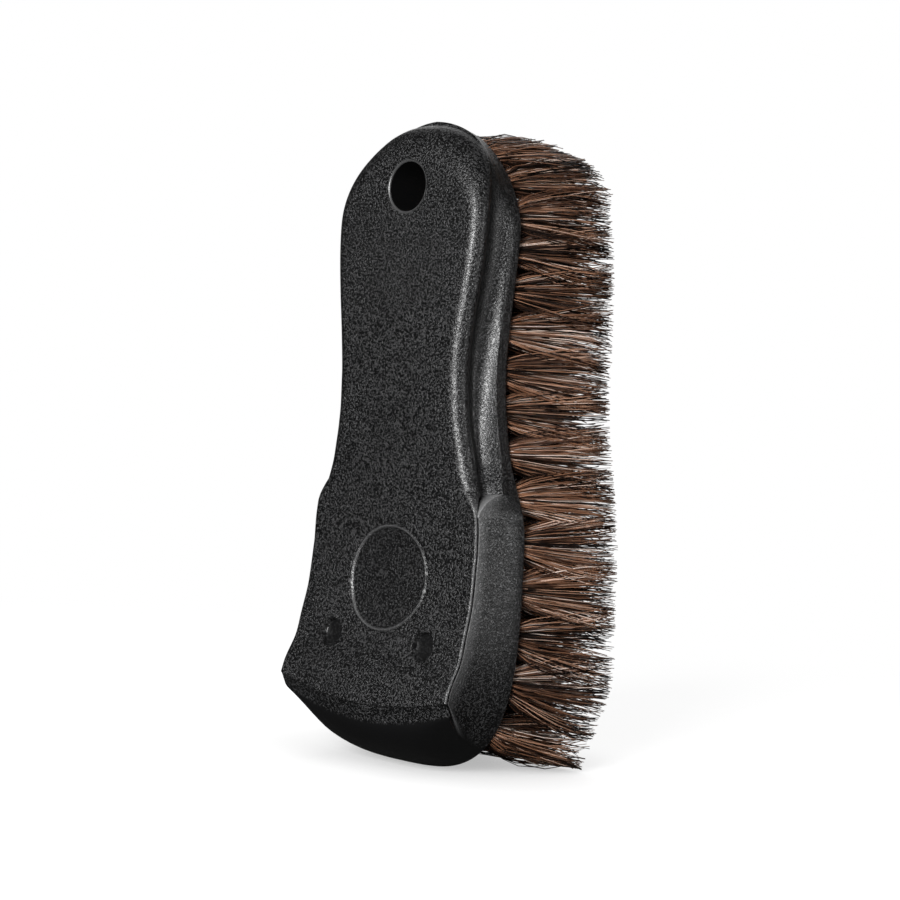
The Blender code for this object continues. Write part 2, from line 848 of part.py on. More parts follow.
def build_tufts():
    for tuft in tufts():
        finish = material(f"{tuft.name}_hair", (0.10, 0.055, 0.03), 0.55)
        add_object(tuft.name, tuft_mesh(tuft), finish)


def clear_scene():
    for old in list(bpy.data.objects):
        bpy.data.objects.remove(old, do_unlink=True)


def main():
    clear_scene()
    build_block()
    build_tufts()


main()
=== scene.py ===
"""Looks of the leather cleaning brush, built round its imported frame.

The block is modelled again at a fine grid from the same ribs as its solid, with the ring round its
bare medallion, the dimples and the moulding marks. Every tuft becomes a bundle of single hairs.
Lengths are in metres. Shapes are worked out from the tufted face as the plane Y = 0 and then moved
to where the frame holds that face.
"""

import math

import bmesh
import bpy
import numpy as np
from mathutils import Matrix, Vector


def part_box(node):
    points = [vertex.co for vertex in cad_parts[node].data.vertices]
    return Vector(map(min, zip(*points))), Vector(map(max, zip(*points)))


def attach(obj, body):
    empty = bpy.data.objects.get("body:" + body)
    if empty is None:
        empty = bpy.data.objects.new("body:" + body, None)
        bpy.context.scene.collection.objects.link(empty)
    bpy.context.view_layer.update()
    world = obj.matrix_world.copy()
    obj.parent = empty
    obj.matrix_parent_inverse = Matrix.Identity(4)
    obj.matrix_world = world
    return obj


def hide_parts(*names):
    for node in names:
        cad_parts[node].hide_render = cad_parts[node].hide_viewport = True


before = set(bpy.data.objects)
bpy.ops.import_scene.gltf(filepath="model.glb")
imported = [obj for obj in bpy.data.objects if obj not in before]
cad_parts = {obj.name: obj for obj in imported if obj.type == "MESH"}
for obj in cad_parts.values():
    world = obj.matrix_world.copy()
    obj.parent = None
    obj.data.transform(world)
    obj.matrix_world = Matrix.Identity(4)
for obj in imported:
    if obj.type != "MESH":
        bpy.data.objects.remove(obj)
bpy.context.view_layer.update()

MM = 0.001
block_low, block_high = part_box("handle_block")
face_y = block_high[1]

# Length of the block and heights along it
block_length = 162.9 * MM
face_end_height = 162.4 * MM
back_end_height = 161.8 * MM
head_widest_height = 43.8 * MM
back_shoulder_height = 53.8 * MM
panel_top_height = 64.8 * MM
back_waist_height = 98.3 * MM
waist_height = 102.8 * MM
grip_widest_height = 135.8 * MM

# Half widths of the edge round the tufted face, and of the back
head_half_width = 33.1 * MM
waist_half_width = 22.2 * MM
grip_half_width = 23.6 * MM
back_corner_half_width = 29.5 * MM
back_shoulder_half_width = 28.7 * MM
back_waist_half_width = 21.3 * MM
back_grip_half_width = 24.8 * MM

# Thickness of the block along its back
grip_thickness = 17.9 * MM
dip_thickness = 13.9 * MM
head_end_thickness = 22.4 * MM
dip_height = 54.8 * MM
flat_grip_height = 116.8 * MM

# Head end
back_edge_height = 15.9 * MM
back_edge_rise = 3.9 * MM
bevel_height = 3.8 * MM
bevel_corner_height = 2.9 * MM
bevel_depth = 2.0 * MM
panel_foot_height = 6.4 * MM

# Edge band, finger groove, rolled back edge and slit. Beside the arch the groove starts a little
# deeper here than in the solid, and the crease of the band is rounded at the grip end.
face_chamfer = 0.8 * MM
band_height = 4.0 * MM
arch_band_height = 6.0 * MM
band_full_height = 78.8 * MM
panel_arch_rise = 5.8 * MM
groove_depth = 3.4 * MM
groove_drop = 8.9 * MM
groove_start_depth = 1.8 * MM
groove_start_drop = 6.0 * MM
groove_full_height = 80.8 * MM
groove_fade_speed = 1.5
crown_power = 3
grip_crease_reach = 1.9 * MM
roll_radius = 3.3 * MM
grip_end_roll_radius = 9.0 * MM
panel_edge_radius = 0.5 * MM
slit_width = 0.7 * MM
slit_depth = 0.9 * MM

# Hang hole, medallion, dimples and moulding marks
hang_hole_radius = 6.2 * MM
hang_hole_height = 145.3 * MM
hang_hole_round = 0.5 * MM
medallion_radius = 13.4 * MM
medallion_height = 47.3 * MM
medallion_depth = 0.3 * MM
bead_half_width = 0.42 * MM
gutter_half_width = 0.22 * MM
gutter_depth = 0.22 * MM
dimple_radius = 3.4 * MM
dimple_height = 31.8 * MM
dimple_offset = 16.2 * MM
dimple_depth = 1.5 * MM
dimple_wall = 0.35 * MM
mark_half_width = 0.14 * MM
mark_rise = 0.07 * MM
mark_inset = 1.0 * MM
mark_start_fade = 1.0 * MM
mark_end_fade = 4.0 * MM
sheen_fade = 1.0 * MM

# How strongly the edges are painted pale as a highlight, and how far the sunk faces lack the grain; in
# the dimples their dark smooth colour is painted shade
ring_highlight_share = 0.32
lip_highlight_share = 0.3
rim_highlight_share = 0.25
disc_smoothness = 0.3
dimple_smooth_shade = 0.8

# Tufts
hole_radius = 2.75 * MM
hole_depth = 4.3 * MM
root_radius = 2.25 * MM
hair_length = 32.0 * MM
edge_wall = 1.6 * MM
tip_gap = 1.0 * MM
tip_foot_half_width = 29.5 * MM
tip_foot_height = 0.8 * MM
tip_head_half_width = 37.5 * MM
tip_head_height = 26.8 * MM
tip_shoulder_half_width = 35.6 * MM
tip_shoulder_height = 58.8 * MM
tip_waist_half_width = 29.6 * MM
tip_waist_height = 95.8 * MM
tip_grip_half_width = 28.3 * MM
tip_grip_height = 124.8 * MM
tip_end_half_width = 24.6 * MM
tip_end_height = 152.8 * MM
tip_overhang = 0.7 * MM
grip_end_lean = 4.2 * MM
head_end_lean = 10.0 * MM
end_middle_tuft_inset = 6.4 * MM
end_tuft_inset = 7.6 * MM
end_tuft_offset = 9.6 * MM
top_row_inset = 15.1 * MM
foot_row_height = 12.9 * MM
row_columns = (2, 2, 4, 4, 4, 4, 4, 4, 4, 5, 5, 5, 5, 4)
narrow_columns = 4
row_pitch_growth = 1.45
upright_height = 88.8 * MM
lean_power = 2.2
end_tip_share = 0.55

# Shapes of the outlines, as shares of the run along the brush and of the change in half width
shoulder_shares = ((0, 1), (0.28, 0.934), (0.36, 0.858), (0.466, 0.62), (0.576, 0.38),
                   (0.70, 0.205), (0.87, 0.05), (1, 0))
back_shoulder_shares = ((0, 1), (0.12, 0.99), (0.27, 0.89), (0.38, 0.64), (0.49, 0.41),
                        (0.58, 0.29), (0.69, 0.15), (0.83, 0.04), (1, 0))
back_dip_shares = ((0, 1), (0.18, 0.80), (0.37, 0.40), (0.50, 0.28), (0.72, 0.08), (1, 0))
back_rise_shares = ((0, 0), (0.17, 0.07), (0.34, 0.26), (0.50, 0.52), (0.68, 0.78), (0.84, 0.94), (1, 1))
end_face_fullness_shares = ((0, 0.8), (0.55, 0.85), (1, 0.35))
head_fullness = 2.95
arch_fullness = 1.45
arch_band_speed = 4
arch_hold = 3
face_end_fullness = 1.62
back_end_fullness = 2.15

# Fineness of the block's grid
small_step = 0.5 * MM
small_turn = math.radians(1)
end_stations = 28
panel_stations = 170
arch_stations = 16
side_stations = 100
grip_end_stations = 48
rim_steps = 4
panel_steps = 6
flange_steps = 9
wall_steps = 8
roll_steps = 8
back_columns = 156
fine_column_share = 0.7
fine_columns = 130
lip_step = 0.3 * MM
flange_sweep = math.radians(68)
bore_sides = 96
bore_round_steps = 6
hole_sides = 24
overrun = 4.0 * MM
weld_distance = 0.001 * MM
rim_margin = 0.01 * MM
sharp_turn = math.radians(50)

# Hair: how many to a tuft, the wisps they gather in, their curl, and how they stray and are trimmed
outer_hairs = 330
inner_hairs = 200
wisp_rows = 4
wisp_place_shares = (0.15, 0.85)
wisp_width_share = 0.2
root_fill_share = 0.98
hair_sides = 3
hair_segments = 5
hair_radius = 0.14 * MM
hair_radius_shares = (0.7, 1.35)
taper_power = 5
taper_share = 0.3
hair_start = -3.0 * MM
hair_overlap = 4.2 * MM
hair_curl = 1.1 * MM
own_curl_share = 0.8
hair_wave = 0.25 * MM
wave_turn = 7
hair_foot = 0.9 * MM
floor_gap = 0.3 * MM
looseness = 0.8 * MM
length_loss = 2.4 * MM
stray_share = 0.05
stray_looseness = 2.6 * MM
stray_length_loss = 5.0 * MM
early_share = 0.3
early_speed = 0.5
inner_speed = 0.6
outer_speed = 0.88
trim_end_half_width = 24.0 * MM
trim_end_reach = 8.6 * MM
trim_fullness = 1.7
trim_play = 1.6 * MM
trim_end_play_share = 0.12
spiky_height = 140.0 * MM
spiky_loss_share = 0.5
spike_rise = 6.0 * MM
hair_seed = 1000
inner_margin = 1.0 * MM
least_share = 0.001

# Tones of the hair from 0, the darkest, to 1, the palest
wisp_tone_share = 0.45
middle_tone = 0.52
tone_contrast = 1.5
# Early hairs are darkened as painted shade in the gaps between tufts near the roots
early_shade_share = 0.6
tone_unevenness = 0.12
uneven_scale = 260.0
hair_roughness = 0.36
dark_hair_shine = 0.05
pale_hair_shine = 0.9
hair_tones = ((0.0, (0.002, 0.0015, 0.001)), (0.24, (0.012, 0.006, 0.004)),
              (0.40, (0.110, 0.050, 0.028)), (0.56, (0.360, 0.170, 0.092)),
              (0.74, (0.680, 0.410, 0.280)), (1.0, (1.000, 0.840, 0.740)))

# Plastic: pebbles to the metre and their height, and its tones from the pits up to the crests, the pits
# darkened as painted shade and the crests paled as painted glints
pebble_scale = 2150.0
pebble_height = 0.07 * MM
pebble_foot = 0.40
pebble_top = 0.64
patch_scale = 45.0
plastic_shine = 0.7
pit_roughness = 0.34
crest_roughness = 0.32
# Pebble tones: the grain's own tone, with the pits darkened as painted shade and the crests paled as
# painted glints
pebble_shade_and_glint_tones = ((0.0, (0.001, 0.001, 0.0011)), (0.62, (0.003, 0.003, 0.0032)),
                (1.0, (0.058, 0.058, 0.059)))
patch_tones = ((0.3, (0.7, 0.7, 0.7)), (0.7, (1.0, 1.0, 1.0)))
# Dark colour where the grain is missing: the polished end face and medallion, and painted shade in the
# hang hole's bore and the dimples
polished_and_shade_colour = (0.003, 0.003, 0.0032, 1.0)
# Pale colour of the painted highlights on the slit's lips, the arch's edge, the medallion ring and the
# hang hole's rim
painted_highlight_colour = (0.22, 0.22, 0.222, 1.0)

# Floor: the glow that the camera sees away from and near the brush, and its diffuse tones
floor_size = 8.0
floor_glow = 0.44
contact_glow = 0.44
contact_reach = 45.0 * MM
shadow_reach = 0.4
near_floor_colour = (0.5, 0.5, 0.5, 1.0)
lit_floor_colour = (0.06, 0.06, 0.06, 1.0)
fill_strength = 0.04

# Camera, found from the photograph's outline: 900 pixels across a 36 mm sensor
camera_place = Vector((361.4, -377.6, 82.6)) * MM
camera_forward = Vector((-0.6868, 0.7268, -0.0043))
camera_up = Vector((-0.0575, -0.0485, 0.9972))
camera_lens = 81.6
camera_clip = 0.01


def mix(start, end, share):
    return start + (end - start) * share


def ease(share):
    share = min(max(share, 0.0), 1.0)
    return share * share * (3 - 2 * share)


def curve_through(knots):
    """A smooth curve through (place, value) knots that never overshoots them."""
    places = [knot[0] for knot in knots]
    values = [knot[1] for knot in knots]
    runs = [b - a for a, b in zip(places, places[1:])]
    slopes = [(b - a) / run for a, b, run in zip(values, values[1:], runs)]
    tangents = [slopes[0]]
    for before, after in zip(slopes, slopes[1:]):
        tangents.append(0.0 if before * after <= 0 else 2 * before * after / (before + after))
    tangents.append(slopes[-1])

    def value(place):
        place = min(max(place, places[0]), places[-1])
        index = 0
        while index < len(runs) - 1 and place > places[index + 1]:
            index += 1
        run = runs[index]
        u = (place - places[index]) / run
        rise = ease(u)
        bend = u * (1 - u)
        start_pull = tangents[index] * run * bend * (1 - u)
        end_pull = tangents[index + 1] * run * bend * u
        return values[index] * (1 - rise) + values[index + 1] * rise + start_pull - end_pull

    return value


shoulder_curve = curve_through(shoulder_shares)
back_shoulder_curve = curve_through(back_shoulder_shares)
back_dip_curve = curve_through(back_dip_shares)
back_rise_curve = curve_through(back_rise_shares)
end_face_fullness = curve_through(end_face_fullness_shares)
tip_outline = curve_through(((tip_foot_height, tip_foot_half_width),
                             (tip_head_height, tip_head_half_width),
                             (tip_shoulder_height, tip_shoulder_half_width),
                             (tip_waist_height, tip_waist_half_width),
                             (tip_grip_height, tip_grip_half_width),
                             (tip_end_height, tip_end_half_width)))


def arc_point(half_width, reach, fullness, angle):
    """Point on a quarter of a superellipse: angle 0 is its side, a right angle is its end."""
    power = 2 / fullness
    return half_width * abs(math.cos(angle)) ** power, reach * math.sin(angle) ** power


def half_width_on_arc(half_width, reach, fullness, along):
    share = min(max(along / reach, 0.0), 1.0)
    return half_width * (1 - share ** fullness) ** (1 / fullness)


def face_half_width(z):
    if z < head_widest_height:
        return half_width_on_arc(head_half_width, head_widest_height, head_fullness,
                                 head_widest_height - z)
    if z < waist_height:
        share = (z - head_widest_height) / (waist_height - head_widest_height)
        return waist_half_width + (head_half_width - waist_half_width) * shoulder_curve(share)
    if z < grip_widest_height:
        share = (z - waist_height) / (grip_widest_height - waist_height)
        return waist_half_width + (grip_half_width - waist_half_width) * ease(share)
    return half_width_on_arc(grip_half_width, face_end_height - grip_widest_height,
                             face_end_fullness, z - grip_widest_height)


def back_half_width(z):
    if z < back_shoulder_height:
        corner_height = back_edge_height + back_edge_rise
        share = (z - corner_height) / (back_shoulder_height - corner_height)
        return back_corner_half_width + (back_shoulder_half_width - back_corner_half_width) * share
    if z < back_waist_height:
        share = (z - back_shoulder_height) / (back_waist_height - back_shoulder_height)
        change = back_shoulder_half_width - back_waist_half_width
        return back_waist_half_width + change * back_shoulder_curve(share)
    share = (z - back_waist_height) / (grip_widest_height - back_waist_height)
    return back_waist_half_width + (back_grip_half_width - back_waist_half_width) * ease(share)


def thickness(z):
    if z < dip_height:
        share = (z - back_edge_height) / (dip_height - back_edge_height)
        return dip_thickness + (head_end_thickness - dip_thickness) * back_dip_curve(share)
    share = (z - dip_height) / (flat_grip_height - dip_height)
    return dip_thickness + (grip_thickness - dip_thickness) * back_rise_curve(share)


def back_edge(x):
    return back_edge_height + back_edge_rise * (x / back_corner_half_width) ** 2


def groove_at(z):
    """Depth of the finger groove in from the rolled edge, and its drop below the back."""
    start = panel_top_height + panel_arch_rise
    share = ease((z - start) / (groove_full_height - start) * 0.5 + 0.5) * 2 - 1
    depth = groove_start_depth + (groove_depth - groove_start_depth) * share
    drop = groove_start_drop + (groove_drop - groove_start_drop) * share
    return depth, drop


def band_at(z):
    """Height of the edge band, which grows over the top of the side panel."""
    start = panel_top_height + panel_arch_rise
    return mix(arch_band_height, band_height, ease((z - start) / (band_full_height - start)))


class Rib:
    """One rib across the side of the block, from the tufted face up to the back."""

    def __init__(self, face, back, face_normal, back_normal, roll):
        self.face = Vector(face)
        self.back = Vector(back)
        self.face_normal = Vector(face_normal)
        self.back_normal = Vector(back_normal)
        self.roll = roll
        self.opening = 0.0
        self.crease_reach = 0.0
        self.deep = thickness((self.back - self.back_normal * roll).y)

    def point(self, plan, depth):
        return Vector((plan.x, -depth, plan.y))

    def rolled_edge(self, angle):
        inset = self.roll * (1 - math.cos(angle))
        plan = self.back - self.back_normal * inset
        return self.point(plan, self.deep - self.roll * (1 - math.sin(angle)))

    def rounded_rim(self):
        points = []
        for step in range(rim_steps + 1):
            angle = math.pi / 2 * step / rim_steps
            inset = face_chamfer * (1 - math.sin(angle))
            depth = face_chamfer * (1 - math.cos(angle))
            points.append(self.point(self.face - self.face_normal * inset, depth))
        return points

    def lip(self):
        return self.point(self.back + self.back_normal * (slit_width / 2), self.deep - slit_width)

    def face_to_crease(self, rim):
        lip = self.lip()
        near = 1 - lip_step / (lip - rim).length
        points = [mix(rim, lip, near * step / (panel_steps - 1)) for step in range(1, panel_steps)]
        return points + [lip]

    def crease_to_floor(self):
        floor = self.point(self.back - self.back_normal * (slit_width / 2), self.deep - slit_depth)
        lip = self.lip()
        return [mix(lip, floor, step / flange_steps) for step in range(1, flange_steps + 1)]

    def floor_to_roll(self, floor):
        top = self.rolled_edge(0.0)
        return [mix(floor, top, step / wall_steps) for step in range(1, wall_steps + 1)]

    def points(self):
        points = self.rounded_rim()
        points += self.face_to_crease(points[-1])
        points += self.crease_to_floor()
        points += self.floor_to_roll(points[-1])
        for step in range(1, roll_steps + 1):
            points.append(self.rolled_edge(math.pi / 2 * step / roll_steps))
        return self.softened(points)

    def softened(self, points):
        """The points with the crease at the top of the band rounded off over its reach."""
        if not self.crease_reach:
            return points
        middle = rim_steps + panel_steps
        run = [0.0]
        for before, after in zip(points, points[1:]):
            run.append(run[-1] + (after - before).length)
        run = np.array(run) - run[middle]
        flat = np.array([tuple(point) for point in points])
        ends = [Vector([np.interp(end, run, flat[:, axis]) for axis in range(3)])
                for end in (-self.crease_reach, self.crease_reach)]
        softened = list(points)
        for index, place in enumerate(run):
            if abs(place) < self.crease_reach:
                share = (place / self.crease_reach + 1) / 2
                first = mix(ends[0], points[middle], share)
                softened[index] = mix(first, mix(points[middle], ends[1], share), share)
        return softened


class GrooveRib(Rib):
    """A rib with an upright edge band and a finger groove above it.

    Its opening grows from 0 to 1 up the arch of the panel, and is None past the arch.
    """

    def __init__(self, face, back, face_normal, back_normal, roll, groove, opening=None):
        super().__init__(face, back, face_normal, back_normal, roll)
        self.groove_in, self.groove_down = groove
        self.opening = opening
        self.fade = 0.0

    def crease(self):
        band_top = self.point(self.face, band_at(self.face.y))
        if self.opening is None:
            return band_top
        return mix(self.lip(), band_top, self.opening)

    def face_to_crease(self, rim):
        crease = self.crease()
        if self.opening is None:
            return [mix(rim, crease, step / panel_steps) for step in range(1, panel_steps + 1)]
        share = (self.face.y - panel_top_height) / panel_arch_rise
        narrow = mix(arch_band_height, 2 * face_chamfer, math.sqrt(max(1 - share ** 2, 0.0)))
        plane = mix(rim, self.lip(), (narrow - face_chamfer) / (self.deep - slit_width - face_chamfer))
        band = mix(plane, self.point(self.face, narrow), min(share * arch_band_speed, 1.0))
        half = panel_steps // 2
        points = [mix(rim, band, step / half) for step in range(1, half + 1)]
        rest = panel_steps - half - 1
        near = max(1 - lip_step / max((crease - band).length, lip_step), 0.5)
        return points + [mix(band, crease, near * step / rest) for step in range(1, rest + 1)] + [crease]

    def crease_to_floor(self):
        """The flange of the groove, cut short at the crease where the arched panel stands on it."""
        top = self.crease()
        plan = self.back - self.back_normal * self.groove_in
        floor = self.point(plan, self.deep - self.groove_down)
        start = flange_sweep
        if self.opening is not None:
            shown = top.y - floor.y
            top = self.point(self.face, arch_band_height)
            shown_share = min(shown / (top.y - floor.y), 1.0)
            start = math.asin(shown_share * math.sin(flange_sweep))
        points = []
        for step in range(1, flange_steps + 1):
            sweep = start * (1 - step / flange_steps)
            out = (1 - math.cos(sweep)) / (1 - math.cos(flange_sweep))
            down = math.sin(sweep) / math.sin(flange_sweep)
            left = 1 - step / flange_steps
            place = mix(floor, top, mix(out, ease(left), self.fade))
            place.y = mix(floor.y, top.y, mix(down, left, self.fade))
            points.append(place)
        return points

    def floor_to_roll(self, floor):
        top = self.rolled_edge(0.0)
        points = []
        for step in range(1, wall_steps + 1):
            share = step / wall_steps
            place = mix(floor, top, ease(share))
            place.y = mix(floor.y, top.y, share)
            points.append(place)
        return points


class EndRib(Rib):
    """A rib down the bulging end face of the head, under its bevel."""

    def __init__(self, face, back, face_normal, back_normal, roll, share):
        super().__init__(face, back, face_normal, back_normal, roll)
        self.fullness = end_face_fullness(share)
        drop = mix(bevel_height, bevel_corner_height, share)
        self.low = self.back - Vector((0.0, drop))

    def face_to_crease(self, rim):
        steps = panel_steps + flange_steps
        depth = self.deep - bevel_depth
        points = []
        for step in range(1, steps + 1):
            angle = math.pi / 2 * step / steps
            bulged = 1 - math.cos(angle)
            plan = mix(self.face, self.low, mix(math.sin(angle), bulged, self.fullness))
            points.append(self.point(plan, mix(face_chamfer, depth, math.sin(angle))))
        return points

    def crease_to_floor(self):
        return []


def plan_normal(before, after):
    along = (Vector(after) - Vector(before)).normalized()
    return Vector((along.y, -along.x))


def head_face_point(angle):
    x, reach = arc_point(head_half_width, head_widest_height, head_fullness, angle)
    return Vector((x, head_widest_height - reach))


def corner_angle():
    share = (head_widest_height - panel_foot_height) / head_widest_height
    return math.asin(share ** (head_fullness / 2))


def end_ribs():
    ribs = []
    for index in range(end_stations + 1):
        share = index / end_stations
        angle = mix(math.pi / 2, corner_angle(), share)
        x = back_corner_half_width * share
        nearby = head_face_point(min(angle + small_turn, math.pi / 2))
        beyond = head_face_point(angle - small_turn)
        slope = 2 * back_edge_rise * x / back_corner_half_width ** 2
        back_normal = Vector((slope, -1.0)).normalized()
        ribs.append(EndRib(head_face_point(angle), (x, back_edge(x)), plan_normal(nearby, beyond),
                           back_normal, panel_edge_radius, share))
    ribs[0].face_normal = Vector((0.0, -1.0))
    ribs[-1].back_normal = Vector((1.0, -1.0)).normalized()
    return ribs


def side_face_normal(z):
    before = Vector((face_half_width(z - small_step), z - small_step))
    after = Vector((face_half_width(z + small_step), z + small_step))
    return plan_normal(before, after)


def panel_ribs():
    ribs = []
    corner_height = back_edge_height + back_edge_rise
    for index in range(1, panel_stations):
        share = index / panel_stations
        z = mix(corner_height, panel_top_height, share)
        face_z = mix(panel_foot_height, panel_top_height, share)
        ribs.append(Rib((face_half_width(face_z), face_z), (back_half_width(z), z),
                        side_face_normal(face_z), (1.0, 0.0), panel_edge_radius))
    return ribs


def arch_ribs():
    ribs = []
    for index in range(arch_stations):
        angle = math.pi / 2 * index / arch_stations
        rise = math.sin(angle) ** (2 / arch_fullness)
        z = panel_top_height + panel_arch_rise * rise
        opening = 1 - math.cos(angle) ** (2 / arch_fullness)
        roll = mix(panel_edge_radius, roll_radius, (rise + opening) / 2)
        rib = GrooveRib((face_half_width(z), z), (back_half_width(z), z),
                        side_face_normal(z), (1.0, 0.0), roll, groove_at(z), opening)
        hold = 1 - (1 - rise) ** arch_hold
        rib.groove_in = mix(slit_width / 2, groove_start_depth, hold)
        crease_drop = rib.deep + rib.crease().y
        down = min(crease_drop + slit_width - slit_depth, groove_start_drop)
        rib.groove_down = max(down, slit_depth)
        ribs.append(rib)
    return ribs


def side_ribs():
    ribs = []
    start = panel_top_height + panel_arch_rise
    for index in range(side_stations):
        z = mix(start, grip_widest_height, index / side_stations)
        rib = GrooveRib((face_half_width(z), z), (back_half_width(z), z),
                        side_face_normal(z), (1.0, 0.0), roll_radius, groove_at(z))
        softness = ease((z - waist_height) / (grip_widest_height - waist_height))
        rib.crease_reach = grip_crease_reach * softness
        ribs.append(rib)
    return ribs


def grip_end_ribs():
    ribs = []
    face_reach = face_end_height - grip_widest_height
    back_reach = back_end_height - grip_widest_height
    crown = block_length - back_end_height
    for index in range(grip_end_stations + 1):
        share = index / grip_end_stations
        angle = math.pi / 2 * share
        x, z = arc_point(grip_half_width, face_reach, face_end_fullness, angle)
        back_x, back_z = arc_point(back_grip_half_width, back_reach, back_end_fullness, angle)
        earlier = max(angle - small_turn, 0.0)
        later = min(angle + small_turn, math.pi / 2)
        before = arc_point(grip_half_width, face_reach, face_end_fullness, earlier)
        after = arc_point(grip_half_width, face_reach, face_end_fullness, later)
        normal = plan_normal(before, after)
        if index == grip_end_stations:
            normal = Vector((0.0, 1.0))
        fade = ease(share * groove_fade_speed)
        depth = groove_depth * (1 - fade) - crown * share ** crown_power
        rib = GrooveRib((x, grip_widest_height + z), (back_x, grip_widest_height + back_z),
                        normal, normal, mix(roll_radius, grip_end_roll_radius, fade),
                        (depth, groove_drop))
        rib.fade = fade
        rib.crease_reach = grip_crease_reach
        ribs.append(rib)
    return ribs


def bump(distance, half_width):
    """A round-topped ridge across its width, 1 in the middle and 0 at its sides."""
    share = np.clip(np.abs(distance) / half_width, 0, 1)
    return (1 + np.cos(np.pi * share)) / 2


def step_down(distance, width):
    """0 outside, 1 inside, over a wall of the given width."""
    share = np.clip(distance / width + 0.5, 0, 1)
    return share * share * (3 - 2 * share)


def back_relief(x, z):
    """Depth below the back's surface of what is moulded into it."""
    reach = np.hypot(x, z - medallion_height)
    bead = medallion_radius - bead_half_width
    depth = medallion_depth * step_down(bead - reach, 2 * bead_half_width)
    depth -= medallion_depth * bump(reach - bead, bead_half_width)
    gutter = medallion_radius + gutter_half_width
    depth += gutter_depth * bump(reach - gutter, gutter_half_width)
    for side in (-1, 1):
        reach = np.hypot(x - side * dimple_offset, z - dimple_height)
        depth += dimple_depth * step_down(dimple_radius - reach, dimple_wall)
    above = step_down(z - medallion_height - medallion_radius - mark_inset, mark_start_fade)
    above *= step_down(panel_top_height + mark_inset - z, mark_end_fade)
    depth -= mark_rise * bump(x, mark_half_width) * above
    return depth


def lip_painted_highlight(rib, count):
    """How pale the points up a rib are painted as a highlight: the two lips of the slit, and the arch's
    edge.
    """
    painted_highlight = np.zeros(count)
    if isinstance(rib, EndRib) or rib.opening is None:
        return painted_highlight
    crease = rim_steps + panel_steps
    painted_highlight[crease] = 1.0
    painted_highlight[crease - 1] = lip_highlight_share
    painted_highlight[-roll_steps - 1:-roll_steps // 2] = lip_highlight_share * (1 - rib.opening) ** 2
    return painted_highlight


def side_grain(rib, count):
    """How strongly the points up a rib have the grain: not at all on the polished end face, whose dark
    polished colour is partly painted shade.
    """
    grain = np.ones(count)
    if isinstance(rib, EndRib):
        grain[:rim_steps + panel_steps + flange_steps] = 0.0
    return grain


# Painted highlight along the bead of the ring round the medallion
def ring_painted_highlight(x, z):
    ring = np.hypot(x, z - medallion_height) - medallion_radius
    return ring_highlight_share * bump(ring + bead_half_width, bead_half_width)


def back_grain(x, z):
    reach = np.hypot(x, z - medallion_height)
    smooth = disc_smoothness * step_down(medallion_radius - reach, sheen_fade)
    for side in (-1, 1):
        reach = np.hypot(x - side * dimple_offset, z - dimple_height)
        # The dimples are smooth and dark: painted shade
        dimple = dimple_smooth_shade * step_down(dimple_radius - reach, sheen_fade)
        smooth = np.maximum(smooth, dimple)
    return 1 - smooth


def back_shares():
    """Places across the back from 0 to 1, finer over its middle stretch."""
    fine = np.linspace(-fine_column_share, fine_column_share, fine_columns + 1)
    coarse = np.linspace(fine_column_share, 1, (back_columns - fine_columns) // 2 + 1)[1:-1]
    return (np.concatenate([-coarse[::-1], fine, coarse]) + 1) / 2


def block_grid():
    """Rows of points round the whole block, one for each pair of ribs, with their grain and their
    painted highlights.
    """
    rows = []
    grain = []
    painted_highlight = []
    share = back_shares()[:, None]
    for rib in end_ribs() + panel_ribs() + arch_ribs() + side_ribs() + grip_end_ribs():
        right = np.array([tuple(point) for point in rib.points()])
        left = right[::-1] * (-1, 1, 1)
        across = right[-1] + (left[0] - right[-1]) * share
        x, z = across[:, 0], across[:, 2]
        across[:, 1] += back_relief(x, z)
        rows.append(np.concatenate([right, across, left]))
        edge = side_grain(rib, len(right))
        grain.append(np.concatenate([edge, back_grain(x, z), edge[::-1]]))
        edge = lip_painted_highlight(rib, len(right))
        painted_highlight.append(np.concatenate([edge, ring_painted_highlight(x, z), edge[::-1]]))
    return np.array(rows), np.array(grain), np.array(painted_highlight)


def grid_quads(rows, columns):
    row, column = np.meshgrid(np.arange(rows - 1), np.arange(columns - 1), indexing="ij")
    first = (row * columns + column).ravel()
    return np.stack([first, first + columns, first + columns + 1, first + 1], axis=1)


def ring(bm, centre, radius, sides):
    turns = [2 * math.pi * (side + 0.5) / sides for side in range(sides)]
    spokes = [Vector((math.cos(turn), 0.0, math.sin(turn))) for turn in turns]
    return [bm.verts.new(centre + spoke * radius) for spoke in spokes]


def close_rings(bm, rings):
    """Join rings of points into one closed body."""
    for lower, upper in zip(rings, rings[1:]):
        for side, vert in enumerate(lower):
            after = (side + 1) % len(lower)
            bm.faces.new((vert, lower[after], upper[after], upper[side]))
    bm.faces.new(rings[0])
    bm.faces.new(rings[-1])


def new_object(name, data):
    made = bpy.data.objects.new(name, data)
    bpy.context.scene.collection.objects.link(made)
    return made


def cut(target, name, build):
    """Cut a shape out of the target and drop the cutter."""
    bm = bmesh.new()
    build(bm)
    bmesh.ops.recalc_face_normals(bm, faces=bm.faces)
    mesh = bpy.data.meshes.new(name)
    bm.to_mesh(mesh)
    bm.free()
    cutter = new_object(name, mesh)
    modifier = target.modifiers.new(name, "BOOLEAN")
    modifier.operation = "DIFFERENCE"
    modifier.solver = "EXACT"
    modifier.object = cutter
    bpy.context.view_layer.objects.active = target
    bpy.ops.object.modifier_apply(modifier=name)
    bpy.data.objects.remove(cutter, do_unlink=True)


